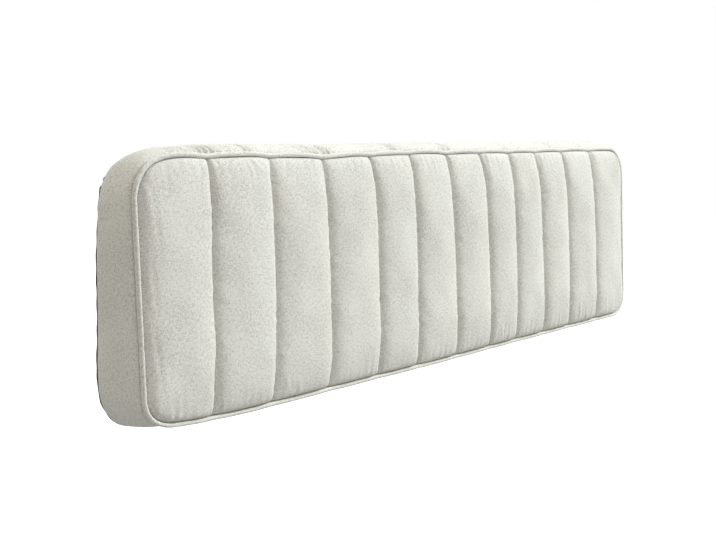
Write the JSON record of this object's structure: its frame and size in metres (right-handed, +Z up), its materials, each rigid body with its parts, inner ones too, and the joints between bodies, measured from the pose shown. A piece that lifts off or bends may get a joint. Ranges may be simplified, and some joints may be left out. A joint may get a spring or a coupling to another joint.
{
  "type": "headboard",
  "caption": "Wide wall-hung upholstered headboard with a welted front of vertical sewn channels, a padded boxing band and interlocking hanging rails.",
  "frame": {"origin": "middle of the line of wall screws, on the wall's face", "axes": "+X along the headboard, +Z up, the upholstered front faces -Y and the wall is on the +Y side"},
  "size_m": [1.8102, 0.152, 0.485],
  "materials": {
    "upholstery_cloth": "heathered grey-beige chenille weave, matt with a soft sheen",
    "fibre_filling": "white polyester fibre filling",
    "foam": "cream polyurethane foam, open cells",
    "cotton_cord": "twisted cotton piping cord",
    "dust_cover_cloth": "thin dark non-woven cambric",
    "plywood": "raw birch plywood",
    "pine": "raw planed pine",
    "zinc_screws": "zinc plated steel",
    "rail_aluminium": "mill finish extrusion with fine lengthwise lines",
    "bumper_rubber": "matt moulded rubber"
  },
  "bodies": {
    "wall_side": {"wall_rail": "rail_aluminium"},
    "headboard": {"channel_cover_01": "upholstery_cloth", "channel_cover_02": "upholstery_cloth", "channel_cover_03": "upholstery_cloth", "channel_cover_04": "upholstery_cloth", "channel_cover_05": "upholstery_cloth", "channel_cover_06": "upholstery_cloth", "channel_cover_07": "upholstery_cloth", "channel_cover_08": "upholstery_cloth", "channel_cover_09": "upholstery_cloth", "channel_cover_10": "upholstery_cloth", "channel_cover_11": "upholstery_cloth", "channel_cover_12": "upholstery_cloth", "boxing": "upholstery_cloth", "welt_sleeve": "upholstery_cloth", "channel_pad_01": "fibre_filling", "channel_pad_02": "fibre_filling", "channel_pad_03": "fibre_filling", "channel_pad_04": "fibre_filling", "channel_pad_05": "fibre_filling", "channel_pad_06": "fibre_filling", "channel_pad_07": "fibre_filling", "channel_pad_08": "fibre_filling", "channel_pad_09": "fibre_filling", "channel_pad_10": "fibre_filling", "channel_pad_11": "fibre_filling", "channel_pad_12": "fibre_filling", "foam_core": "foam", "edge_padding": "foam", "welt_cord": "cotton_cord", "dust_cover": "dust_cover_cloth", "face_panel": "plywood", "top_rail": "pine", "bottom_rail": "pine", "left_stile": "pine", "right_stile": "pine", "hanging_rail": "pine", "middle_stile_1": "pine", "middle_stile_2": "pine", "middle_stile_3": "pine", "corner_block_top_left": "pine", "corner_block_top_right": "pine", "corner_block_bottom_left": "pine", "corner_block_bottom_right": "pine", "board_rail_screws": "zinc_screws", "frame_screws": "zinc_screws", "hanging_rail_screws": "zinc_screws", "panel_screws": "zinc_screws", "bumper_screws": "zinc_screws", "board_rail": "rail_aluminium", "bumpers": "bumper_rubber"}
  },
  "joints": [
    {"name": "lift_off", "type": "slide", "parent": "wall_side", "child": "headboard", "axis": [0, 0, 1], "range_m": [0, 0.018]}
  ]
}
